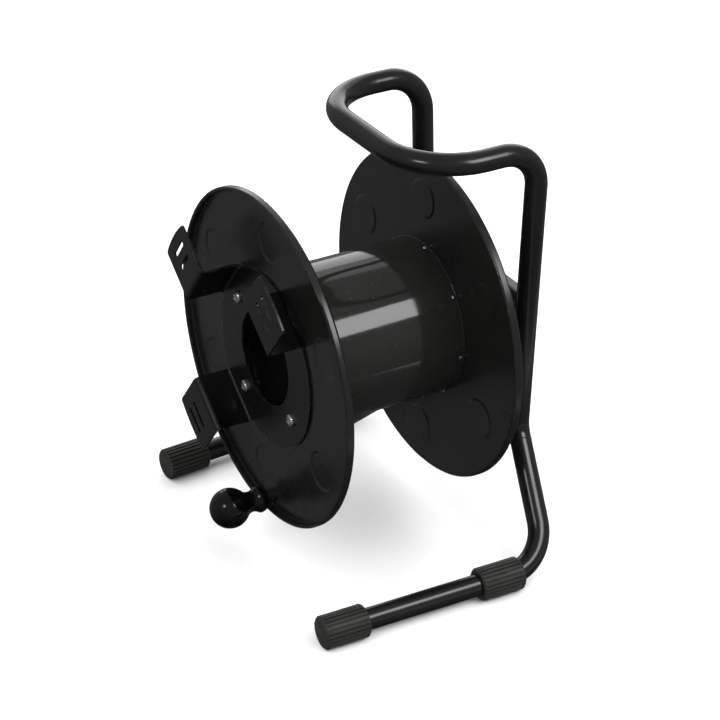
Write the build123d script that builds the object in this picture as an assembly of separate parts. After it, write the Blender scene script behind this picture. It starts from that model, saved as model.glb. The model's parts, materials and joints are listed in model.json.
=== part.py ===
"""Free-standing hand cable reel: a steel drum on a fixed axle in a bent tube frame.

Millimetres, +Z up, -Y is the front (the open side of the drum, with the connector holder
and the crank knob), X is across. The origin is on the floor under the middle of the reel's
bounding box. The drum turns about an axis parallel to Y at the height AXLE_Z.
"""
import os
from math import cos, hypot, radians, sin, sqrt

from build123d import *

# ---- driving dimensions -------------------------------------------------------------
OVERALL_DEPTH = 288.0          # knob tip to the back of the uprights
AXLE_Z = 203.6                 # drum axis above the floor

FLANGE_R = 155.5               # drum flanges, 311 mm across
SHEET = 1.2                    # flange sheet
LIP_DEPTH = 7.9                # rolled rim, measured along the axis
LIP_WIDTH = 3.6                # rolled rim, measured along the radius
WINDING_WIDTH = 159.0          # clear width between the flanges
DRUM_FRONT = -88.3             # front edge of the front rim

CORE_R = 73.0                  # drum core, outside
CORE_WALL = 1.5
FRONT_RING_T = 2.5             # ring inside the core that takes the holder screws
SCOOP_R = 60.0                 # cable scoop under the core
SCOOP_DROP = 27.0              # how far its axis is below the drum's
SCOOP_MOUTH_X = -42.0
SCOOP_WINDOW_X = -26.0         # where the window in the core under the scoop starts
OPENING_R = 44.0               # round front opening into the core

DIMPLE_COUNT = 6
DIMPLE_CIRCLE_R = 117.0
DIMPLE_R = 19.0
DIMPLE_DEPTH = 0.9
DIMPLE_PHASE_FRONT = 26.0
DIMPLE_PHASE_REAR = 30.0

HOLDER_R = 83.0                # holder disc, and how far out its arms stand
HOLDER_T = 2.0
HOLDER_ANGLES = (51.3, 141.3, 231.3)
ARM_WIDTH = 54.0
ARM_REACH = 37.2               # back of the holder disc to the front of the ears
EAR_R = 133.5                  # the ears end on this circle
BEND_R = 3.0                   # inside radius of a sheet bend
SLOT_RADII = (106.5, 120.0)
SLOT_LENGTH = 27.0
SLOT_WIDTH = 4.8
SCREW_CIRCLE_R = 62.0
SCREW_PHASE = 51.3
SCREW_HOLE_R = 3.2
SCREW_R = 3.0
SCREW_HEAD_R = 5.6
SCREW_HEAD_H = 3.2
NUT_ACROSS = 10.0
NUT_H = 5.0

AXLE_R = 10.0
RUNNING_FIT = 0.05             # radial clearance of a shaft in its bush
END_PLAY = 0.35                # axial gap between parts that turn against each other

KNOB_CIRCLE_R = 142.2
KNOB_ANGLE = 272.1
KNOB_LENGTH = 53.7
KNOB_BALL_R = 18.6
KNOB_NECK_R = 9.6
KNOB_FOOT_R = 12.4
KNOB_FOOT_ROUND = 4.0
KNOB_NECK_RUN = 14.5           # narrowest place of the knob to its foot
KNOB_CAP_R = 7.0
SPACER_R = 6.4
SPINDLE_R = 5.0

TUBE_R = 10.0
TUBE_WALL = 1.5
HANDLE_Z = 395.1               # centreline of the handle
HANDLE_HALF_WIDTH = 95.2       # uprights' centreline at the handle
HANDLE_REACH = 115.2           # crossbar centreline, forward of the uprights
UPRIGHT_LEAN = 0.048           # sideways run of an upright for each mm of drop
TOP_BEND_R = 37.0
CORNER_BEND_R = 62.0
KINK_Z = 109.1
KINK_BEND_R = 22.0
KINK_TAIL = 13.0               # from the kink's corner to the end of the upper tube
LEG_CORNER = (167.0, 112.4)    # X and Y of the corner where a leg turns into a foot
FOOT_BEND_R = 46.0
FOOT_TIP_X = 155.5

SLEEVE_R = 15.2                # ribbed rubber on the feet, over the ribs
SLEEVE_LENGTH = 42.0
SLEEVE_RIBS = 24
RIB_HEIGHT = 1.2
CAP_END_T = 3.0                # rubber over the end of the tube
TUBE_END_GAP = 0.2
SPIGOT_LENGTH = 26.0           # joins a leg tube to the upper tube
SPIGOT_GRIP = 3.0              # how much of it is in the upper tube
FRONT_CAP_Y = -114.9
REAR_SLEEVE_Y = 62.0           # middle of the rear sleeve

CROSS_PLATE_HALF_HEIGHT = 43.0
CROSS_PLATE_T = 3.0
CROSS_PLATE_LIP = 14.0

# ---- worked out from the driving dimensions --------------------------------------------
HALF_DEPTH = OVERALL_DEPTH / 2
UPRIGHT_Y = HALF_DEPTH - TUBE_R
FRONT_WEB = DRUM_FRONT + LIP_DEPTH - SHEET       # front face of the front flange's sheet
WIND_FRONT = DRUM_FRONT + LIP_DEPTH              # where the cable space starts
WIND_REAR = WIND_FRONT + WINDING_WIDTH
REAR_WEB = WIND_REAR + SHEET                     # back face of the rear flange's sheet
CORE_INNER_R = CORE_R - CORE_WALL
HOLDER_FRONT = FRONT_WEB - HOLDER_T
EAR_FRONT = FRONT_WEB - ARM_REACH
CROSS_PLATE_BACK = UPRIGHT_Y - 3.2                # just ahead of the uprights' centreline
CROSS_PLATE_FRONT = CROSS_PLATE_BACK - CROSS_PLATE_T
KNOB_X = KNOB_CIRCLE_R * cos(radians(KNOB_ANGLE))
KNOB_Z = AXLE_Z + KNOB_CIRCLE_R * sin(radians(KNOB_ANGLE))
FOOT_Z = SLEEVE_R


# ---- helpers ------------------------------------------------------------------------------
def turned(points, x=0.0, z=AXLE_Z):
    """Solid of revolution about an axis along Y, from (radius, y) points."""
    face = make_face(Polyline(*points, close=True))
    return Pos(x, 0, z) * revolve(face, Axis.Y)


def rod(radius, y0, y1, x=0.0, z=AXLE_Z):
    """Cylinder along Y from y0 to y1."""
    return Pos(x, (y0 + y1) / 2, z) * Rot(90, 0, 0) * Cylinder(radius, y1 - y0)


def ring(outer, inner, y0, y1, x=0.0, z=AXLE_Z):
    """Plain ring or tube along Y."""
    return rod(outer, y0, y1, x, z) - rod(inner, y0 - 1, y1 + 1, x, z)


def hexagon(across_flats, y0, y1, x=0.0, z=AXLE_Z):
    """Hexagonal prism along Y, with its corners taken off by a cone at the y1 end."""
    outline = RegularPolygon(across_flats / 2, 6, major_radius=False)
    prism = Pos(x, y1, z) * Rot(90, 0, 0) * extrude(outline, y1 - y0)
    corner_r = across_flats / sqrt(3)
    flat_r = across_flats / 2 - 0.2
    cone = turned([(0, y0), (corner_r, y0), (corner_r, y1 - 0.6 * (corner_r - flat_r)),
                   (flat_r, y1), (0, y1)], x, z)
    return prism & cone


def around(radius, angle):
    """X and Z of a point on a circle about the drum axis, angle from +X towards +Z."""
    return radius * cos(radians(angle)), AXLE_Z + radius * sin(radians(angle))


def pan_screw(x, z, seat_y, shank_l):
    """Pan head screw along Y with its head towards -Y and a cross recess in it."""
    front = seat_y - SCREW_HEAD_H
    dome = 0.45 * SCREW_HEAD_H
    tip = seat_y + shank_l
    profile = [(0, front), (SCREW_HEAD_R * 0.55, front), (SCREW_HEAD_R * 0.88, front + dome * 0.45),
               (SCREW_HEAD_R, front + dome), (SCREW_HEAD_R, seat_y), (SCREW_R, seat_y),
               (SCREW_R, tip - 0.8), (SCREW_R - 0.6, tip), (0, tip)]
    screw = turned(profile, x, z)
    for turn in (45, 135):
        blade = Box(SCREW_HEAD_R * 1.15, 1.7, SCREW_HEAD_R * 0.28)
        screw -= Pos(x, front + 0.6, z) * Rot(0, turn, 0) * blade
    return screw


def nut(x, z, seat_y):
    """Hexagon nut that stands on the plane Y = seat_y, on its +Y side."""
    far = seat_y + NUT_H
    return hexagon(NUT_ACROSS, seat_y, far, x, z) - rod(SCREW_R, seat_y - 1, far + 1, x, z)


def flip_y(shape, about):
    """Mirror a shape across the plane Y = about."""
    return mirror(shape, Plane(origin=(0, about, 0), z_dir=(0, 1, 0)))


# ---- drum -----------------------------------------------------------------------------------
def flange(bore_r, dimple_phase):
    """Sheet disc with a rolled rim that stands forward, and shallow round dimples."""
    inner = FLANGE_R - LIP_WIDTH
    edge = DRUM_FRONT + LIP_WIDTH / 2
    with BuildSketch() as section:
        with BuildLine():
            Line((bore_r, FRONT_WEB), (inner - 1.2, FRONT_WEB))
            RadiusArc((inner - 1.2, FRONT_WEB), (inner, FRONT_WEB - 1.2), 1.2)
            Line((inner, FRONT_WEB - 1.2), (inner, edge))
            ThreePointArc((inner, edge), (inner + LIP_WIDTH / 2, DRUM_FRONT), (FLANGE_R, edge))
            Line((FLANGE_R, edge), (FLANGE_R, WIND_FRONT - 2.4))
            RadiusArc((FLANGE_R, WIND_FRONT - 2.4), (FLANGE_R - 2.4, WIND_FRONT), -2.4)
            Line((FLANGE_R - 2.4, WIND_FRONT), (bore_r, WIND_FRONT))
            Line((bore_r, WIND_FRONT), (bore_r, FRONT_WEB))
        make_face()
    disc = Pos(0, 0, AXLE_Z) * revolve(section.sketch, Axis.Y)
    for step in range(DIMPLE_COUNT):
        x, z = around(DIMPLE_CIRCLE_R, dimple_phase + step * 360 / DIMPLE_COUNT)
        slope = DIMPLE_R - 2.2
        disc += turned([(0, WIND_FRONT - 0.1), (DIMPLE_R, WIND_FRONT - 0.1), (DIMPLE_R, WIND_FRONT),
                        (slope, WIND_FRONT + DIMPLE_DEPTH), (0, WIND_FRONT + DIMPLE_DEPTH)], x, z)
        disc -= turned([(0, FRONT_WEB - 0.1), (DIMPLE_R - 0.4, FRONT_WEB - 0.1),
                        (DIMPLE_R - 0.4, FRONT_WEB), (slope - 0.4, FRONT_WEB + DIMPLE_DEPTH),
                        (0, FRONT_WEB + DIMPLE_DEPTH)], x, z)
    return disc


def screw_places():
    return [around(SCREW_CIRCLE_R, SCREW_PHASE + 90 * step) for step in range(4)]


def front_flange():
    disc = flange(OPENING_R + 2, DIMPLE_PHASE_FRONT)
    for x, z in screw_places():
        disc -= rod(SCREW_HOLE_R, FRONT_WEB - 1, WIND_FRONT + 1, x, z)
    return disc - rod(SPINDLE_R, FRONT_WEB - 1, WIND_FRONT + 1, KNOB_X, KNOB_Z)


def rear_flange():
    disc = flip_y(flange(HUB_R, DIMPLE_PHASE_REAR), (WIND_FRONT + WIND_REAR) / 2)
    for x, z in screw_places():
        disc -= rod(SCREW_HOLE_R, WIND_REAR - 1, REAR_WEB + 1, x, z)
    return disc


def drum_core():
    """Sheet tube with a scoop on its underside, open to -X, that leads the cable in under the sheet."""
    front, full, end = WIND_FRONT + 10, WIND_FRONT + 51, WIND_FRONT + 118
    shrink = SCOOP_DROP + SCOOP_R - CORE_R

    def beyond(x):
        """Everything on the +X side of a plane."""
        return Pos(x + CORE_R, 0, AXLE_Z) * Box(2 * CORE_R, OVERALL_DEPTH, 2 * AXLE_Z)

    def bulge(inset):
        r = SCOOP_R - inset
        shape = turned([(0, front + inset), (r, front + inset), (r, full), (r - shrink, end), (0, end)])
        return Pos(0, 0, -SCOOP_DROP) * shape & beyond(SCOOP_MOUTH_X)

    tube_blank = rod(CORE_R, WIND_FRONT, WIND_REAR)
    passage = bulge(CORE_WALL) - tube_blank
    window = bulge(CORE_WALL) & beyond(SCOOP_WINDOW_X)
    bore = rod(CORE_INNER_R, WIND_FRONT - 1, WIND_REAR + 1)
    return tube_blank + bulge(0) - bore - passage - window


def core_front_ring():
    plate = ring(CORE_INNER_R, OPENING_R + 6, WIND_FRONT, WIND_FRONT + FRONT_RING_T)
    for x, z in screw_places():
        plate -= rod(SCREW_HOLE_R, WIND_FRONT - 1, WIND_FRONT + FRONT_RING_T + 1, x, z)
    return plate


# ---- drum bearings ---------------------------------------------------------------------------
HUB_R = 17.0
HUB_BORE_R = 13.0
FRONT_DISC_Y = DRUM_FRONT + 65      # front face of the bearing disc inside the core
DISC_T = 2.5
FRONT_HUB = (FRONT_DISC_Y - 14, FRONT_DISC_Y + 8)
REAR_HUB = (WIND_REAR - 21, REAR_WEB)
BUSH_FLANGE_T = 1.5


def bearing_disc(y0):
    return ring(CORE_INNER_R, HUB_R, y0, y0 + DISC_T)


def rear_bearing_disc():
    disc = bearing_disc(WIND_REAR - DISC_T)
    for x, z in screw_places():
        disc -= rod(SCREW_HOLE_R, WIND_REAR - DISC_T - 1, WIND_REAR + 1, x, z)
    return disc


def bush(hub, flange_end):
    """Flanged nylon bush that fills a hub; flange_end is -1 in front, +1 behind."""
    inner = AXLE_R + RUNNING_FIT
    body = ring(HUB_BORE_R, inner, hub[0], hub[1])
    if flange_end < 0:
        return body + ring(HUB_R, inner, hub[0] - BUSH_FLANGE_T, hub[0])
    return body + ring(HUB_R, inner, hub[1], hub[1] + BUSH_FLANGE_T)


# ---- fixed axle --------------------------------------------------------------------------------
FRONT_BUSH_FACE = FRONT_HUB[0] - BUSH_FLANGE_T
REAR_BUSH_FACE = REAR_HUB[1] + BUSH_FLANGE_T
WASHER_T = 2.0
CIRCLIP_T = 1.2
CIRCLIP_GROOVE_R = 9.1
STUB_R = 8.0
STUB_END = HALF_DEPTH - 2.0
LOCK_NUT_SEAT = CROSS_PLATE_BACK + 2.5
DOUBLER_T = 4.0
DOUBLER_FRONT = CROSS_PLATE_FRONT - DOUBLER_T
FRONT_WASHER = (FRONT_BUSH_FACE - END_PLAY - WASHER_T, FRONT_BUSH_FACE - END_PLAY)
AXLE_FRONT = FRONT_WASHER[0] - 5.0


def axle():
    """Steel axle with a circlip groove in front and a threaded stub through the frame."""
    groove = FRONT_WASHER[0] - CIRCLIP_T
    return turned([(0, AXLE_FRONT), (AXLE_R - 1, AXLE_FRONT), (AXLE_R, AXLE_FRONT + 1),
                   (AXLE_R, groove), (CIRCLIP_GROOVE_R, groove),
                   (CIRCLIP_GROOVE_R, FRONT_WASHER[0]), (AXLE_R, FRONT_WASHER[0]),
                   (AXLE_R, DOUBLER_FRONT), (STUB_R, DOUBLER_FRONT),
                   (STUB_R, STUB_END - 1.2), (STUB_R - 1.2, STUB_END), (0, STUB_END)])


def axle_circlip():
    clip = ring(12.5, CIRCLIP_GROOVE_R, FRONT_WASHER[0] - CIRCLIP_T, FRONT_WASHER[0])
    return clip - Pos(11, FRONT_WASHER[0], AXLE_Z) * Box(8, 6, 5)


def axle_lock_nut():
    end = LOCK_NUT_SEAT + 8
    return hexagon(24, LOCK_NUT_SEAT, end) - rod(STUB_R, LOCK_NUT_SEAT - 1, end + 1)


def axle_doubler():
    plate = Pos(0, DOUBLER_FRONT + DOUBLER_T / 2, AXLE_Z) * Box(76, DOUBLER_T, 70)
    plate = fillet(plate.edges().filter_by(Axis.Y), 8)
    return plate - rod(STUB_R, DOUBLER_FRONT - 1, CROSS_PLATE_FRONT + 1)


# ---- connector holder -----------------------------------------------------------------------------
def holder_arm():
    """One arm in its own frame: radius along +X, from the disc forward and out to the ear."""
    inside, outside = HOLDER_R - HOLDER_T, HOLDER_R
    back, root = FRONT_WEB, HOLDER_FRONT
    tip, ear_back = EAR_FRONT, EAR_FRONT + HOLDER_T
    outline = Polyline((OPENING_R + 8, back), (OPENING_R + 8, root), (inside, root), (inside, tip),
                       (EAR_R + 5, tip), (EAR_R + 5, ear_back), (outside, ear_back),
                       (outside, back), close=True)
    section = make_face(outline)
    wide, tight = BEND_R + HOLDER_T, BEND_R
    for corner, radius in (((inside, root), tight), ((outside, back), wide),
                           ((inside, tip), wide), ((outside, ear_back), tight)):
        vertex = section.vertices().sort_by_distance((corner[0], corner[1], 0))[0]
        section = fillet(vertex, radius)
    strip = extrude(section, ARM_WIDTH / 2, both=True)
    strip &= Rot(90, 0, 0) * Cylinder(EAR_R, 400)
    corners = strip.edges().filter_by(Axis.Y).group_by(Axis.X)[-1]
    strip = fillet(corners, 3)
    for radius in SLOT_RADII:
        slot = extrude(SlotOverall(SLOT_LENGTH, SLOT_WIDTH), HOLDER_T + 2)
        strip -= Pos(radius, EAR_FRONT - 1, 0) * Rot(90, 0, 0) * Rot(180, 0, 90) * slot
    return strip


def connector_holder():
    plate = ring(HOLDER_R - 0.4, OPENING_R, HOLDER_FRONT, FRONT_WEB)
    arm = holder_arm()
    for angle in HOLDER_ANGLES:
        plate += Pos(0, 0, AXLE_Z) * Rot(0, -angle, 0) * arm
    for x, z in screw_places():
        plate -= rod(SCREW_HOLE_R, HOLDER_FRONT - 1, FRONT_WEB + 1, x, z)
    return plate


# ---- crank ------------------------------------------------------------------------------------------
KNOB_FOOT_Y = -HALF_DEPTH + KNOB_LENGTH
KNOB_SPACER = (KNOB_FOOT_Y + END_PLAY, FRONT_WEB)
KNOB_SEAT_Y = -HALF_DEPTH + 12.0       # bottom of the recess that hides the retaining screw
SPINDLE_FRONT = KNOB_SEAT_Y - END_PLAY


def point_on(centre, radius, target):
    """Point on a circle, on the side that faces the target."""
    reach = hypot(target[0] - centre[0], target[1] - centre[1])
    return tuple(c + radius * (t - c) / reach for c, t in zip(centre, target))


def crank_knob():
    """Double-ball knob of tangent arcs, with a stepped bore for spindle and screw."""
    ball = (0, -HALF_DEPTH + KNOB_BALL_R)
    waist = (KNOB_NECK_R, KNOB_FOOT_Y - KNOB_NECK_RUN)
    run = waist[1] - ball[1]
    neck_round = (KNOB_NECK_R ** 2 + run ** 2 - KNOB_BALL_R ** 2) / (2 * (KNOB_BALL_R - KNOB_NECK_R))
    neck = (KNOB_NECK_R + neck_round, waist[1])
    foot_x = KNOB_FOOT_R - KNOB_FOOT_ROUND
    foot = (foot_x, waist[1] + sqrt((neck_round + KNOB_FOOT_ROUND) ** 2 - (neck[0] - foot_x) ** 2))
    ball_end = point_on(ball, KNOB_BALL_R, neck)
    neck_end = point_on(neck, neck_round, foot)
    widest = (KNOB_FOOT_R, foot[1])
    base = KNOB_FOOT_R - 3.5
    with BuildSketch() as section:
        with BuildLine():
            Line((0, KNOB_FOOT_Y), (0, -HALF_DEPTH))
            ThreePointArc((0, -HALF_DEPTH), (KNOB_BALL_R, ball[1]), ball_end)
            ThreePointArc(ball_end, waist, neck_end)
            ThreePointArc(neck_end, point_on(foot, KNOB_FOOT_ROUND, (widest[0], neck_end[1])), widest)
            ThreePointArc(widest, (KNOB_FOOT_R - 1.0, KNOB_FOOT_Y - 2.4), (base, KNOB_FOOT_Y))
            Line((base, KNOB_FOOT_Y), (0, KNOB_FOOT_Y))
        make_face()
    knob = Pos(KNOB_X, 0, KNOB_Z) * revolve(section.sketch, Axis.Y)
    knob -= rod(SPINDLE_R + RUNNING_FIT, KNOB_SEAT_Y, KNOB_FOOT_Y + 1, KNOB_X, KNOB_Z)
    return knob - rod(KNOB_CAP_R, -HALF_DEPTH - 1, KNOB_SEAT_Y, KNOB_X, KNOB_Z)


def knob_cap():
    """Domed plug that closes the recess in the knob's front."""
    ball_y = -HALF_DEPTH + KNOB_BALL_R
    blank = rod(KNOB_CAP_R, -HALF_DEPTH - 1, -HALF_DEPTH + 4.5, KNOB_X, KNOB_Z)
    return blank & (Pos(KNOB_X, ball_y, KNOB_Z) * Sphere(KNOB_BALL_R))


def crank_spindle():
    """Spindle riveted through the flange, with a low round head on the cable side."""
    y = WIND_FRONT
    return turned([(0, SPINDLE_FRONT), (SPINDLE_R, SPINDLE_FRONT), (SPINDLE_R, y), (6.6, y),
                   (6.2, y + 1.2), (4.2, y + 2.0), (0, y + 2.2)], KNOB_X, KNOB_Z)


def knob_screw():
    """Low head screw and washer face that keep the knob on its spindle."""
    head = SPINDLE_FRONT
    return turned([(0, head - 3.2), (3.4, head - 3.2), (4.2, head - 2.4), (4.2, head - 1.2),
                   (6.2, head - 1.2), (6.2, head), (0, head)], KNOB_X, KNOB_Z)


# ---- frame ------------------------------------------------------------------------------------------
def upright_x(z):
    return HANDLE_HALF_WIDTH - UPRIGHT_LEAN * (HANDLE_Z - z)


def point_towards(start, end, distance):
    direction = (Vector(*end) - Vector(*start)).normalized()
    return Vector(*start) + direction * distance


def kink_point(side):
    return (side * upright_x(KINK_Z), UPRIGHT_Y, KINK_Z)


def leg_corner(side):
    return (side * LEG_CORNER[0], LEG_CORNER[1], FOOT_Z)


def joint_point(side):
    """Where the upper tube ends and the leg tube starts, just past the kink."""
    return point_towards(kink_point(side), leg_corner(side), KINK_TAIL)


def foot_tip(side, y):
    """Point on the centreline of a foot at a given Y."""
    run = (LEG_CORNER[0] - FOOT_TIP_X) / (LEG_CORNER[1] - FRONT_CAP_Y)
    return (side * (FOOT_TIP_X + run * (y - FRONT_CAP_Y)), y, FOOT_Z)


def foot_frame(side, y):
    """Plane across a foot at a given Y, with its normal pointing to the front."""
    forward = Vector(*foot_tip(side, y - 1)) - Vector(*foot_tip(side, y))
    return Plane(origin=foot_tip(side, y), x_dir=(0, 0, 1), z_dir=forward)


def bent_bar(points, bends, radius):
    """Solid round bar along straight runs joined by bends."""
    path = FilletPolyline(*points, radius=bends)
    start = Plane(origin=path @ 0, z_dir=path % 0)
    return sweep(start * Circle(radius), path)


def tube(points, bends):
    return bent_bar(points, bends, TUBE_R) - bent_bar(points, bends, TUBE_R - TUBE_WALL)


def upper_frame_tube():
    """Both uprights and the handle: one tube, bent six times."""
    left, right = -1, 1
    front = UPRIGHT_Y - HANDLE_REACH
    half = HANDLE_HALF_WIDTH
    points = [joint_point(left), kink_point(left), (-half, UPRIGHT_Y, HANDLE_Z),
              (-half, front, HANDLE_Z), (half, front, HANDLE_Z), (half, UPRIGHT_Y, HANDLE_Z),
              kink_point(right), joint_point(right)]
    bends = [KINK_BEND_R, TOP_BEND_R, CORNER_BEND_R, CORNER_BEND_R, TOP_BEND_R, KINK_BEND_R]
    return tube(points, bends)


def leg_route(side):
    """Leg and foot: one run down and out, one bend, one run to the front."""
    tip = foot_tip(side, FRONT_CAP_Y + CAP_END_T + TUBE_END_GAP)
    return [joint_point(side), leg_corner(side), tip], [FOOT_BEND_R]


def joint_spigot(side):
    """Short inner sleeve that joins a leg tube to the upper tube."""
    joint = joint_point(side)
    axis = Vector(*leg_corner(side)) - joint
    outer = TUBE_R - TUBE_WALL
    at = Plane(origin=joint - axis.normalized() * SPIGOT_GRIP, z_dir=axis)
    return extrude(at * (Circle(outer) - Circle(outer - 2)), SPIGOT_LENGTH)


def ribbed(length):
    """Ribbed grip profile, extruded along +Z from the origin."""
    root = SLEEVE_R - RIB_HEIGHT
    profile = Circle(root)
    rib = Polygon((root - 0.6, -1.25), (SLEEVE_R, -0.75), (SLEEVE_R, 0.75), (root - 0.6, 1.25),
                  align=None)
    for step in range(SLEEVE_RIBS):
        profile += Rot(0, 0, step * 360 / SLEEVE_RIBS) * rib
    body = extrude(profile, length)
    ends = Cylinder(SLEEVE_R, length, align=(Align.CENTER, Align.CENTER, Align.MIN))
    return body & chamfer(ends.edges().filter_by(GeomType.CIRCLE), 1.4)


def front_foot_cap(side):
    """Closed rubber cap over the front end of a foot."""
    back = foot_frame(side, FRONT_CAP_Y + SLEEVE_LENGTH)
    cap = back.location * ribbed(SLEEVE_LENGTH)
    return cap - extrude(back * Circle(TUBE_R), SLEEVE_LENGTH - CAP_END_T)


def rear_foot_sleeve(side):
    """Open rubber sleeve round the back of a foot."""
    back = foot_frame(side, REAR_SLEEVE_Y + SLEEVE_LENGTH / 2)
    return back.location * ribbed(SLEEVE_LENGTH) - bent_bar(*leg_route(side), TUBE_R)


def cross_plate():
    """Sheet channel between the uprights that carries the axle."""
    height = CROSS_PLATE_HALF_HEIGHT
    lip_back = CROSS_PLATE_FRONT + CROSS_PLATE_LIP
    low, high = AXLE_Z - height, AXLE_Z + height
    corner = BEND_R + CROSS_PLATE_T
    outer = make_face(Polyline((CROSS_PLATE_FRONT, low), (CROSS_PLATE_FRONT, high),
                               (lip_back, high), (lip_back, low), close=True))
    section = outer - Pos(CROSS_PLATE_BACK + 50, AXLE_Z) * Rectangle(100, 2 * (height - CROSS_PLATE_T))
    for z in (low, high):
        vertex = section.vertices().sort_by_distance((CROSS_PLATE_FRONT, z, 0))[0]
        section = fillet(vertex, corner)
    for z in (low + CROSS_PLATE_T, high - CROSS_PLATE_T):
        vertex = section.vertices().sort_by_distance((CROSS_PLATE_BACK, z, 0))[0]
        section = fillet(vertex, BEND_R)
    channel = extrude(Plane.YZ * section, 2 * HANDLE_HALF_WIDTH, both=True)
    for side in (-1, 1):
        x_low, x_high = side * upright_x(low - 40), side * upright_x(high + 40)
        axis = Line((x_low, UPRIGHT_Y, low - 40), (x_high, UPRIGHT_Y, high + 40))
        end = Plane(origin=axis @ 0, z_dir=axis % 0)
        channel -= extrude(end * Circle(TUBE_R), axis.length)
    middle = channel.solids().sort_by(lambda solid: abs(solid.center().X))[0]
    return middle - rod(STUB_R, CROSS_PLATE_FRONT - 1, CROSS_PLATE_BACK + 1)


# ---- the whole reel ---------------------------------------------------------------------------------
def build():
    parts = {
        "upper_frame_tube": upper_frame_tube(),
        "cross_plate": cross_plate(),
        "axle_doubler_plate": axle_doubler(),
        "axle": axle(),
        "axle_spacer": ring(14, AXLE_R, REAR_BUSH_FACE + END_PLAY, DOUBLER_FRONT),
        "axle_front_washer": ring(17, AXLE_R, *FRONT_WASHER),
        "axle_circlip": axle_circlip(),
        "axle_rear_washer": ring(15, STUB_R, CROSS_PLATE_BACK, LOCK_NUT_SEAT),
        "axle_lock_nut": axle_lock_nut(),
        "front_flange": front_flange(),
        "rear_flange": rear_flange(),
        "drum_core": drum_core(),
        "core_front_ring": core_front_ring(),
        "front_bearing_disc": bearing_disc(FRONT_DISC_Y),
        "rear_bearing_disc": rear_bearing_disc(),
        "front_hub": ring(HUB_R, HUB_BORE_R, *FRONT_HUB),
        "rear_hub": ring(HUB_R, HUB_BORE_R, *REAR_HUB),
        "front_bush": bush(FRONT_HUB, -1),
        "rear_bush": bush(REAR_HUB, 1),
        "connector_holder": connector_holder(),
        "crank_spindle": crank_spindle(),
        "crank_spacer": ring(SPACER_R, SPINDLE_R, *KNOB_SPACER, KNOB_X, KNOB_Z),
        "knob_screw": knob_screw(),
        "crank_knob": crank_knob(),
        "knob_cap": knob_cap(),
    }
    front_nut = WIND_FRONT + FRONT_RING_T
    rear_nut = WIND_REAR - DISC_T
    fasteners = {
        "holder_screws": [pan_screw(x, z, HOLDER_FRONT, 14) for x, z in screw_places()],
        "holder_nuts": [nut(x, z, front_nut) for x, z in screw_places()],
        "rear_flange_screws": [flip_y(pan_screw(x, z, REAR_WEB, 13), REAR_WEB)
                               for x, z in screw_places()],
        "rear_flange_nuts": [flip_y(nut(x, z, rear_nut), rear_nut) for x, z in screw_places()],
    }
    for name, group in fasteners.items():
        parts[name] = Compound(children=[solid for piece in group for solid in piece.solids()])
    for side, word in ((-1, "left"), (1, "right")):
        parts[f"{word}_leg_tube"] = tube(*leg_route(side))
        parts[f"{word}_joint_spigot"] = joint_spigot(side)
        parts[f"{word}_front_foot_cap"] = front_foot_cap(side)
        parts[f"{word}_rear_foot_sleeve"] = rear_foot_sleeve(side)
    return parts


def main():
    os.makedirs("parts", exist_ok=True)
    for name, shape in build().items():
        export_step(shape, f"parts/{name}.step")


main()
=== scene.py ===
"""Looks for the hand cable reel: painted and plated finishes, welds and small details, studio."""

import json
from math import cos, pi, radians, sin, tau

import bmesh
import bpy
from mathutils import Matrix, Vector


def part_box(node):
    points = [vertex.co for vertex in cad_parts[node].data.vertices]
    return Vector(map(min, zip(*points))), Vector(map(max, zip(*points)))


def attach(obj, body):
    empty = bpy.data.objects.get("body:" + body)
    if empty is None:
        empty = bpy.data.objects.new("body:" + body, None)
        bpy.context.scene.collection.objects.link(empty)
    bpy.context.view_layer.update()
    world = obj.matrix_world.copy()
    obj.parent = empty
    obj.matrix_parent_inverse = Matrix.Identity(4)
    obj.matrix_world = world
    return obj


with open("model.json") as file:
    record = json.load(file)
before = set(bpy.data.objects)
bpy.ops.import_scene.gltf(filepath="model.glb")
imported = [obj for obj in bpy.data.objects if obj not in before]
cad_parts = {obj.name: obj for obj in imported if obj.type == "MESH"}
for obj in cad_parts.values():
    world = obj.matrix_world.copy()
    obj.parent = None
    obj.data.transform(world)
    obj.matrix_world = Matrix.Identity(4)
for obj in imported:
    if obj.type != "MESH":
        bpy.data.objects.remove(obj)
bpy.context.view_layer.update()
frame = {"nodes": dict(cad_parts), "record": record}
MM = 0.001
ALONG_AXLE = Vector((0, 1, 0))
SIDES = (("left", -1), ("right", 1))

# ---- camera: the picture's viewing angle --------------------------------------------------------
VIEW_AZIMUTH = radians(60.03)
VIEW_ELEVATION = radians(30.05)
VIEW_DISTANCE = 1.798
VIEW_TARGET = Vector((0.1431, -0.0690, 0.2691))
FOCAL_LENGTH_MM = 109.5

# ---- places read from the frame -----------------------------------------------------------------
AXLE_LOW, AXLE_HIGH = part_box("axle")
AXLE_Z = (AXLE_LOW.z + AXLE_HIGH.z) / 2
CORE_LOW, CORE_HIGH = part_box("drum_core")
CORE_R = CORE_HIGH.z - AXLE_Z
PLATE_LOW, PLATE_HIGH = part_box("cross_plate")
PLATE_T = 3 * MM
DOUBLER_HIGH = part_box("axle_doubler_plate")[1]
NUT_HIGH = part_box("axle_lock_nut")[1]
TUBE_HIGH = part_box("upper_frame_tube")[1]
TUBE_R = 10 * MM
UPRIGHT_Y = TUBE_HIGH.y - TUBE_R
UPRIGHT_LEAN = 0.048  # sideways travel of an upright per unit of height
LEG_KINK_Z = 109.1 * MM  # height where the upright's line turns into the leg's
LEG_SOCKET = 13 * MM  # from that kink down to the end of the leg tube
FOOT_CORNER = Vector((167 * MM, 112.4 * MM, 15.2 * MM))  # where the right leg turns into its foot


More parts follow.
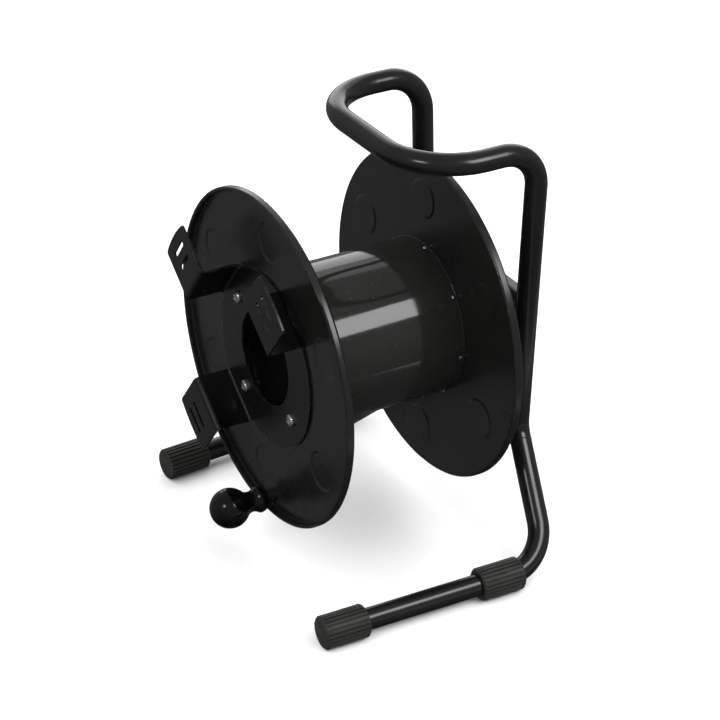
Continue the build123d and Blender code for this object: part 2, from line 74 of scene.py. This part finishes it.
def upright_x(z):
    """Distance of an upright's centreline from the middle, at a height."""
    return TUBE_HIGH.x - TUBE_R - UPRIGHT_LEAN * (TUBE_HIGH.z - TUBE_R - z)


# ---- materials ----------------------------------------------------------------------------------
class Shader:
    """A material being built: its node tree, its main shader and short ways to add nodes."""

    def __init__(self, name, **sockets):
        self.material = bpy.data.materials.new(name)
        self.material.use_nodes = True
        self.nodes = self.material.node_tree.nodes
        self.links = self.material.node_tree.links
        self.main = self.nodes["Principled BSDF"]
        for socket, value in sockets.items():
            self.main.inputs[socket.replace("_", " ")].default_value = value
        self.place = self.nodes.new("ShaderNodeTexCoord").outputs["Object"]

    def link(self, output, node, socket):
        self.links.new(output, node.inputs[socket])

    def noise(self, scale, detail=3.0, roughness=0.55, stretch=None):
        """Noise with so many waves to the metre; stretch squeezes it along some of the axes."""
        node = self.nodes.new("ShaderNodeTexNoise")
        node.inputs["Scale"].default_value = scale
        node.inputs["Detail"].default_value = detail
        node.inputs["Roughness"].default_value = roughness
        place = self.place
        if stretch:
            mapping = self.nodes.new("ShaderNodeMapping")
            mapping.inputs["Scale"].default_value = stretch
            self.link(place, mapping, "Vector")
            place = mapping.outputs["Vector"]
        self.link(place, node, "Vector")
        return node.outputs["Fac"]

    def spread(self, value, low, high, out_low=0.0, out_high=1.0):
        """Map a value from one range to another, held at the ends."""
        node = self.nodes.new("ShaderNodeMapRange")
        for socket, number in (("From Min", low), ("From Max", high), ("To Min", out_low),
                               ("To Max", out_high)):
            node.inputs[socket].default_value = number
        self.link(value, node, "Value")
        return node.outputs["Result"]

    def mix(self, factor, first, second):
        """Blend two colours; each is a colour or another node's output."""
        node = self.nodes.new("ShaderNodeMix")
        node.data_type = "RGBA"
        self.link(factor, node, "Factor")
        for socket, colour in (("A", first), ("B", second)):
            target = next(s for s in node.inputs if s.name == socket and s.type == "RGBA")
            if isinstance(colour, tuple):
                target.default_value = (*colour, 1.0)
            else:
                self.links.new(colour, target)
        return next(s for s in node.outputs if s.type == "RGBA")

    def maths(self, operation, first, second):
        node = self.nodes.new("ShaderNodeMath")
        node.operation = operation
        self.link(first, node, 0)
        self.link(second, node, 1)
        return node.outputs[0]

    def bevel(self, width):
        """The surface's direction, as if its edges were rounded to a width."""
        node = self.nodes.new("ShaderNodeBevel")
        node.samples = 6
        node.inputs["Radius"].default_value = width
        return node.outputs["Normal"]

    def edges(self, width):
        """How near a surface is to a convex or concave edge: 0 on flats, towards 1 at edges."""
        flat = self.nodes.new("ShaderNodeNewGeometry")
        dot = self.nodes.new("ShaderNodeVectorMath")
        dot.operation = "DOT_PRODUCT"
        self.link(self.bevel(width), dot, 0)
        self.link(flat.outputs["Normal"], dot, 1)
        return self.spread(dot.outputs["Value"], 0.98, 0.75)

    def bump(self, heights, rounding=0.0):
        """Stack bumps given as (height output, depth in metres), over softly rounded edges."""
        normal = self.bevel(rounding) if rounding else None
        for height, depth in heights:
            node = self.nodes.new("ShaderNodeBump")
            node.inputs["Distance"].default_value = depth
            self.link(height, node, "Height")
            if normal:
                self.link(normal, node, "Normal")
            normal = node.outputs["Normal"]
        self.link(normal, self.main, "Normal")

    def colour(self, output):
        self.link(output, self.main, "Base Color")

    def rough(self, output):
        self.link(output, self.main, "Roughness")


def coated_steel(name, dark, light, roughness, peel, wear):
    """Black coating on steel: orange peel of some depth, faint dust and rubbed edges."""
    shader = Shader(name, IOR=1.5)
    base = shader.mix(shader.spread(shader.noise(9.0, 4.0), 0.35, 0.65), dark, light)
    dust = shader.spread(shader.noise(260.0, 2.0), 0.66, 0.74, 0.0, 0.55)
    base = shader.mix(dust, base, tuple(2.6 * c for c in light))
    patches = shader.spread(shader.noise(85.0, 4.0), 0.45, 0.62, 0.0, wear)
    rubbed = shader.maths("MULTIPLY", shader.edges(0.7 * MM), patches)
    shader.colour(shader.mix(rubbed, base, (0.11, 0.105, 0.1)))
    smear = shader.noise(24.0, 5.0, 0.65)
    shader.rough(shader.spread(smear, 0.3, 0.7, *roughness))
    shader.bump([(shader.noise(700.0, 2.0, 0.5), peel), (shader.noise(170.0, 1.0), peel * 1.5)],
                rounding=0.35 * MM)
    return shader.material


def rubber():
    """Moulded black rubber: dull, with painted shade between the ribs, and paler rib edges that
    are partly wear and partly painted highlight.
    """
    shader = Shader("ribbed_rubber", IOR=1.5, Specular_IOR_Level=0.4)
    # Painted shade: ambient occlusion darkens the colour in the grooves between the ribs.
    groove_shade_ao = shader.nodes.new("ShaderNodeAmbientOcclusion")
    groove_shade_ao.samples = 8
    groove_shade_ao.inputs["Distance"].default_value = 2.0 * MM
    painted_shade_mask = shader.spread(groove_shade_ao.outputs["AO"], 0.62, 0.97)
    rib = shader.mix(shader.spread(shader.noise(40.0, 4.0), 0.35, 0.65),
                     (0.017, 0.017, 0.015), (0.026, 0.026, 0.023))
    # Painted shade: near-black deep in the grooves, the rib colour on open surfaces.
    base = shader.mix(painted_shade_mask, (0.0012, 0.0012, 0.0011), rib)
    # Paler rib edges: partly wear, partly a painted highlight on the rib tops.
    patches = shader.spread(shader.noise(140.0, 3.0), 0.35, 0.65, 0.3, 0.9)
    wear_and_painted_highlight = shader.maths("MULTIPLY", shader.edges(0.4 * MM), patches)
    shader.colour(shader.mix(wear_and_painted_highlight, base, (0.062, 0.060, 0.054)))
    shader.rough(shader.spread(shader.noise(60.0, 3.0), 0.3, 0.7, 0.45, 0.65))
    shader.bump([(shader.noise(1500.0, 2.0), 0.03 * MM)], rounding=0.25 * MM)
    return shader.material


def knob_plastic():
    """Moulded gloss plastic with faint flow waves and hairline scuffs."""
    shader = Shader("knob_plastic", IOR=1.38, Coat_Weight=0.08, Coat_Roughness=0.05)
    shader.colour(shader.mix(shader.spread(shader.noise(30.0, 4.0), 0.4, 0.6),
                             (0.0010, 0.0010, 0.0010), (0.0024, 0.0024, 0.0024)))
    scuff = shader.noise(90.0, 6.0, 0.75, stretch=(1.0, 6.0, 1.0))
    shader.rough(shader.spread(scuff, 0.45, 0.75, 0.10, 0.30))
    shader.bump([(shader.noise(60.0, 1.0), 0.05 * MM)])
    return shader.material


def zinc():
    """Bright zinc plate: crystalline sheen with a slight colour drift."""
    shader = Shader("zinc_steel", Metallic=1.0)
    shader.colour(shader.mix(shader.spread(shader.noise(220.0, 3.0), 0.35, 0.65),
                             (0.60, 0.62, 0.66), (0.80, 0.80, 0.78)))
    shader.rough(shader.spread(shader.noise(500.0, 4.0), 0.3, 0.7, 0.18, 0.38))
    shader.bump([(shader.noise(1800.0, 2.0), 0.015 * MM)], rounding=0.2 * MM)
    return shader.material


def turned_steel():
    """Bare turned steel, with fine grooves around the axle."""
    shader = Shader("plain_steel", Metallic=1.0)
    grooves = shader.noise(120.0, 3.0, 0.6, stretch=(0.2, 30.0, 0.2))
    shader.colour(shader.mix(shader.spread(shader.noise(60.0, 4.0), 0.3, 0.7),
                             (0.34, 0.34, 0.35), (0.50, 0.49, 0.47)))
    shader.rough(shader.spread(grooves, 0.3, 0.7, 0.25, 0.45))
    shader.bump([(grooves, 0.02 * MM)], rounding=0.2 * MM)
    return shader.material


def nylon():
    """Natural nylon: slightly see-through, off-white, with a soft sheen."""
    shader = Shader("nylon", IOR=1.53, Subsurface_Weight=0.15, Subsurface_Scale=0.002)
    shader.colour(shader.mix(shader.spread(shader.noise(80.0, 3.0), 0.35, 0.65),
                             (0.66, 0.63, 0.55), (0.76, 0.74, 0.68)))
    shader.rough(shader.spread(shader.noise(120.0, 3.0), 0.3, 0.7, 0.35, 0.5))
    shader.bump([(shader.noise(900.0, 2.0), 0.02 * MM)])
    return shader.material


MATERIALS = {
    "frame_powder_coat": coated_steel(
        "frame_powder_coat", dark=(0.0035, 0.0035, 0.0034), light=(0.0060, 0.0060, 0.0056),
        roughness=(0.16, 0.26), peel=0.015 * MM, wear=0.5),
    "drum_paint": coated_steel(
        "drum_paint", dark=(0.0056, 0.0056, 0.0052), light=(0.0084, 0.0084, 0.0078),
        roughness=(0.19, 0.29), peel=0.010 * MM, wear=0.6),
    "core_paint": coated_steel(
        "core_paint", dark=(0.0085, 0.0085, 0.0079), light=(0.0120, 0.0120, 0.0112),
        roughness=(0.06, 0.12), peel=0.010 * MM, wear=0.5),
    "holder_paint": coated_steel(
        "holder_paint", dark=(0.0010, 0.0011, 0.0010), light=(0.0024, 0.0024, 0.0023),
        roughness=(0.22, 0.36), peel=0.020 * MM, wear=0.7),
    "ribbed_rubber": rubber(),
    "knob_plastic": knob_plastic(),
    "zinc_steel": zinc(),
    "plain_steel": turned_steel(),
    "nylon": nylon(),
}


def dress(piece, slot):
    """Give a piece the finish of a material slot."""
    piece.data.materials.clear()
    piece.data.materials.append(MATERIALS[slot])


def dress_cad_nodes():
    for entry in frame["record"]["subparts"]:
        dress(frame["nodes"][entry["node"]], entry["material_slot"])


dress_cad_nodes()


# ---- small pieces that the solids leave out -----------------------------------------------------
def piece_from(name, mesh_code, slot, body):
    """Make a piece from a function that fills a bmesh, and let it ride on a body."""
    shape = bmesh.new()
    mesh_code(shape)
    bmesh.ops.recalc_face_normals(shape, faces=shape.faces)
    mesh = bpy.data.meshes.new(name)
    shape.to_mesh(mesh)
    shape.free()
    for polygon in mesh.polygons:
        polygon.use_smooth = True
    piece = bpy.data.objects.new(name, mesh)
    bpy.context.scene.collection.objects.link(piece)
    dress(piece, slot)
    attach(piece, body)


def fill_bead(shape, points, radii, closed, segments=8):
    """A tube through points whose thickness changes from point to point."""
    rings = []
    count = len(points)
    side = None
    for index, (point, radius) in enumerate(zip(points, radii)):
        if closed:
            ahead, behind = points[(index + 1) % count], points[index - 1]
        else:
            ahead, behind = points[min(index + 1, count - 1)], points[max(index - 1, 0)]
        along = (ahead - behind).normalized()
        side = along.orthogonal() if side is None else side - along * along.dot(side)
        side.normalize()
        up = along.cross(side)
        rings.append([shape.verts.new(point + radius * (cos(tau * k / segments) * side
                                                        + sin(tau * k / segments) * up))
                      for k in range(segments)])
    pairs = list(zip(rings, rings[1:])) + ([(rings[-1], rings[0])] if closed else [])
    for first, second in pairs:
        for k in range(segments):
            shape.faces.new((first[k], first[k - 1], second[k - 1], second[k]))
    if not closed:
        shape.faces.new(rings[0])
        shape.faces.new(rings[-1][::-1])


def bead(name, points, radii, slot, body, closed=True):
    """Make a weld-like bead along points, as a piece of its own."""
    piece_from(name, lambda shape: fill_bead(shape, points, radii, closed), slot, body)


def wobble(count, middle, swing, seed):
    """Radii that swell and shrink like a hand-laid weld."""
    return [middle + swing * (sin(1.9 * i + seed) + 0.6 * sin(4.3 * i + 2.0 * seed)) / 1.6
            for i in range(count)]


def circle_points(centre, axis, radius, count):
    side = axis.orthogonal().normalized()
    other = axis.cross(side).normalized()
    return [centre + radius * (cos(tau * k / count) * side + sin(tau * k / count) * other)
            for k in range(count)]


def outward(angle):
    """Direction away from the axle, at an angle from +X towards +Z."""
    return Vector((cos(angle), 0, sin(angle)))


def core_rim_bead():
    """Paint-filled seam where the core meets the rear flange."""
    count = 240
    centre = Vector((0, CORE_HIGH.y - 0.5 * MM, AXLE_Z))
    points = circle_points(centre, ALONG_AXLE, CORE_R + 0.3 * MM, count)
    radii = wobble(count, 0.75 * MM, 0.05 * MM, seed=0.3)
    bead("core_rim_bead", points, radii, "core_paint", "reel")


def core_rivets():
    """Small domed rivets round the rear end of the core."""
    rivets, first_angle = 8, radians(38)
    head_r, head_h, sunk = 1.7 * MM, 1.0 * MM, 0.25 * MM
    from_flange = 3.3 * MM
    steps, tilts = 20, (0.0, 0.35, 0.7, 1.05, 1.35)

    def fill_rivet(shape, out):
        across = out.cross(ALONG_AXLE)
        foot = Vector((0, CORE_HIGH.y - from_flange, AXLE_Z)) + out * (CORE_R - sunk)
        rows = []
        for tilt in tilts:
            radius, rise = head_r * cos(tilt), (head_h + sunk) * sin(tilt)
            rows.append([shape.verts.new(foot + out * rise + radius * (
                cos(tau * j / steps) * ALONG_AXLE + sin(tau * j / steps) * across))
                for j in range(steps)])
        for low, high in zip(rows, rows[1:]):
            for j in range(steps):
                shape.faces.new((low[j - 1], low[j], high[j], high[j - 1]))
        shape.faces.new(rows[-1])
        shape.faces.new(rows[0][::-1])

    def fill(shape):
        for k in range(rivets):
            fill_rivet(shape, outward(first_angle + tau * k / rivets))

    piece_from("core_rivets", fill, "zinc_steel", "reel")


def core_spot_mark():
    """Ring left by a spot weld on the core."""
    count, from_front = 48, 62 * MM
    out = outward(radians(59))
    centre = Vector((0, CORE_LOW.y + from_front, AXLE_Z)) + out * (CORE_R - 0.05 * MM)
    points = circle_points(centre, out, 3.0 * MM, count)
    bead("core_spot_mark", points, [0.22 * MM] * count, "core_paint", "reel")


def cross_plate_welds():
    """Beads along both ends of the cross plate, on the front and the back of the sheet."""
    count, end_gap, off_tube, off_sheet = 91, 8 * MM, 0.6 * MM, 0.3 * MM
    low, high = PLATE_LOW.z + end_gap, PLATE_HIGH.z - end_gap
    heights = [low + (high - low) * i / (count - 1) for i in range(count)]
    for word, side in SIDES:
        for face, y, lift in (("front", PLATE_LOW.y, -off_sheet),
                              ("back", PLATE_LOW.y + PLATE_T, off_sheet)):
            reach = (TUBE_R ** 2 - (UPRIGHT_Y - y) ** 2) ** 0.5
            points = [Vector((side * (upright_x(z) - reach - off_tube), y + lift, z))
                      for z in heights]
            radii = wobble(count, 1.5 * MM, 0.22 * MM, seed=side + y * 100)
            bead(f"{word}_plate_weld_{face}", points, radii, "frame_powder_coat", "frame",
                 closed=False)


def doubler_weld():
    """Bead round the edge of the plate that stiffens the axle's seat."""
    corner_r, corner_steps, run_steps = 8 * MM, 8, 24
    y = PLATE_LOW.y - 0.2 * MM
    half_x, half_z = DOUBLER_HIGH.x - corner_r, DOUBLER_HIGH.z - AXLE_Z - corner_r
    corners = ((half_x, half_z), (-half_x, half_z), (-half_x, -half_z), (half_x, -half_z))

    def corner_point(index, step):
        x, z = corners[index]
        angle = (index + step / corner_steps) * pi / 2
        return Vector((x + corner_r * cos(angle), y, AXLE_Z + z + corner_r * sin(angle)))

    points = []
    for index in range(4):
        points += [corner_point(index, step) for step in range(corner_steps)]
        start, end = points[-1], corner_point((index + 1) % 4, 0)
        points += [start.lerp(end, step / run_steps) for step in range(1, run_steps)]
    radii = wobble(len(points), 1.4 * MM, 0.2 * MM, seed=1.7)
    bead("doubler_weld", points, radii, "frame_powder_coat", "frame")


def leg_joint_welds():
    """Ground-down weld ring where each leg tube joins the upper tube."""
    count = 72
    for word, side in SIDES:
        kink = Vector((side * upright_x(LEG_KINK_Z), UPRIGHT_Y, LEG_KINK_Z))
        corner = Vector((side * FOOT_CORNER.x, FOOT_CORNER.y, FOOT_CORNER.z))
        axis = (corner - kink).normalized()
        points = circle_points(kink + axis * LEG_SOCKET, axis, TUBE_R - 0.1 * MM, count)
        radii = wobble(count, 0.6 * MM, 0.06 * MM, seed=side + 2.5)
        bead(f"{word}_joint_weld", points, radii, "frame_powder_coat", "frame")


def lock_nut_insert():
    """Nylon ring pressed into the back of the lock nut."""
    count = 96
    centre = Vector((0, NUT_HIGH.y + 0.1 * MM, AXLE_Z))
    points = circle_points(centre, ALONG_AXLE, 8.9 * MM, count)
    bead("lock_nut_insert", points, [0.55 * MM] * count, "nylon", "frame")


core_rim_bead()
core_rivets()
core_spot_mark()
cross_plate_welds()
doubler_weld()
leg_joint_welds()
lock_nut_insert()


# ---- stage: pale floor, soft light --------------------------------------------------------------
def make_floor():
    bpy.ops.mesh.primitive_plane_add(size=24, location=(0, 0, 0))
    floor = bpy.context.object
    floor.name = "studio_floor"
    floor.visible_glossy = False
    shader = Shader("studio_floor", Roughness=0.9)
    shader.colour(shader.mix(shader.noise(1.2, 2.0), (0.90, 0.90, 0.90), (0.93, 0.93, 0.93)))
    floor.data.materials.append(shader.material)


def make_backdrop():
    """Pale dome that only the camera sees, far behind the floor."""
    bpy.ops.mesh.primitive_ico_sphere_add(subdivisions=4, radius=16, location=(0, 0, 0))
    dome = bpy.context.object
    dome.name = "studio_backdrop"
    for ray in ("visible_glossy", "visible_diffuse", "visible_shadow", "visible_transmission",
                "visible_volume_scatter"):
        setattr(dome, ray, False)
    material = bpy.data.materials.new("studio_backdrop")
    material.use_nodes = True
    nodes, links = material.node_tree.nodes, material.node_tree.links
    glow = nodes.new("ShaderNodeEmission")
    glow.inputs["Color"].default_value = (0.96, 0.96, 0.96, 1.0)
    links.new(glow.outputs[0], nodes["Material Output"].inputs["Surface"])
    dome.data.materials.append(material)


def make_world():
    """Dim studio, darker below the horizon."""
    ground, sky = 0.01, 0.32
    ground_end, sky_start = 0.02, 0.62  # on a scale from straight down, 0, to straight up, 1
    world = bpy.data.worlds.new("studio")
    bpy.context.scene.world = world
    world.use_nodes = True
    nodes, links = world.node_tree.nodes, world.node_tree.links
    place = nodes.new("ShaderNodeTexCoord")
    split = nodes.new("ShaderNodeSeparateXYZ")
    links.new(place.outputs["Generated"], split.inputs[0])
    height = nodes.new("ShaderNodeMath")
    height.operation = "MULTIPLY_ADD"
    height.inputs[1].default_value = 0.5
    height.inputs[2].default_value = 0.5
    links.new(split.outputs["Z"], height.inputs[0])
    ramp = nodes.new("ShaderNodeValToRGB")
    for stop, position, grey in zip(ramp.color_ramp.elements, (ground_end, sky_start),
                                    (ground, sky)):
        stop.position = position
        stop.color = (grey, grey, grey, 1)
    links.new(height.outputs[0], ramp.inputs["Fac"])
    links.new(ramp.outputs["Color"], nodes["Background"].inputs["Color"])
    nodes["Background"].inputs["Strength"].default_value = 1.0


def aim(thing, target):
    direction = Vector(target) - thing.location
    thing.rotation_euler = direction.to_track_quat("-Z", "Y").to_euler()


def softbox(name, place, target, size, radiance, in_reflections=True):
    """Area light that is as bright as asked, seen in reflections but not by the camera."""
    light = bpy.data.lights.new(name, "AREA")
    light.shape = "RECTANGLE"
    light.size, light.size_y = size
    light.energy = radiance * pi * size[0] * size[1]
    lamp = bpy.data.objects.new(name, light)
    lamp.location = place
    aim(lamp, target)
    lamp.visible_glossy = in_reflections
    lamp.visible_camera = False
    bpy.context.scene.collection.objects.link(lamp)


def make_lights():
    reel_middle = (0, 0, AXLE_Z)
    softbox("ceiling", place=(0, 0, 3.2), target=(0, 0, 0), size=(9.0, 9.0), radiance=1.60,
            in_reflections=False)
    softbox("right_box", place=(1.08, 0.45, 1.16), target=reel_middle, size=(0.80, 0.56),
            radiance=7.0)
    softbox("left_box", place=(0.53, -1.26, 1.10), target=(0, -0.1, 0.1), size=(0.35, 0.35),
            radiance=8.0)
    softbox("far_sweep", place=(-2.6, 1.5, 1.15), target=reel_middle, size=(3.4, 1.6),
            radiance=1.7)
    softbox("far_sweep_top", place=(-2.0, 1.6, 2.6), target=reel_middle, size=(3.2, 1.2),
            radiance=0.7)
    softbox("floor_edge", place=(0.35, 0.15, 0.004), target=reel_middle, size=(1.6, 0.02),
            radiance=0.9)


def make_camera():
    camera = bpy.data.cameras.new("camera")
    camera.lens = FOCAL_LENGTH_MM
    camera.sensor_width = 36.0
    camera.clip_start = 0.05
    viewer = bpy.data.objects.new("camera", camera)
    towards = Vector((sin(VIEW_AZIMUTH) * cos(VIEW_ELEVATION),
                      -cos(VIEW_AZIMUTH) * cos(VIEW_ELEVATION), sin(VIEW_ELEVATION)))
    viewer.location = VIEW_TARGET + VIEW_DISTANCE * towards
    aim(viewer, VIEW_TARGET)
    bpy.context.scene.collection.objects.link(viewer)
    bpy.context.scene.camera = viewer


make_floor()
make_backdrop()
make_world()
make_lights()
make_camera()
bpy.context.scene.view_settings.view_transform = "Standard"
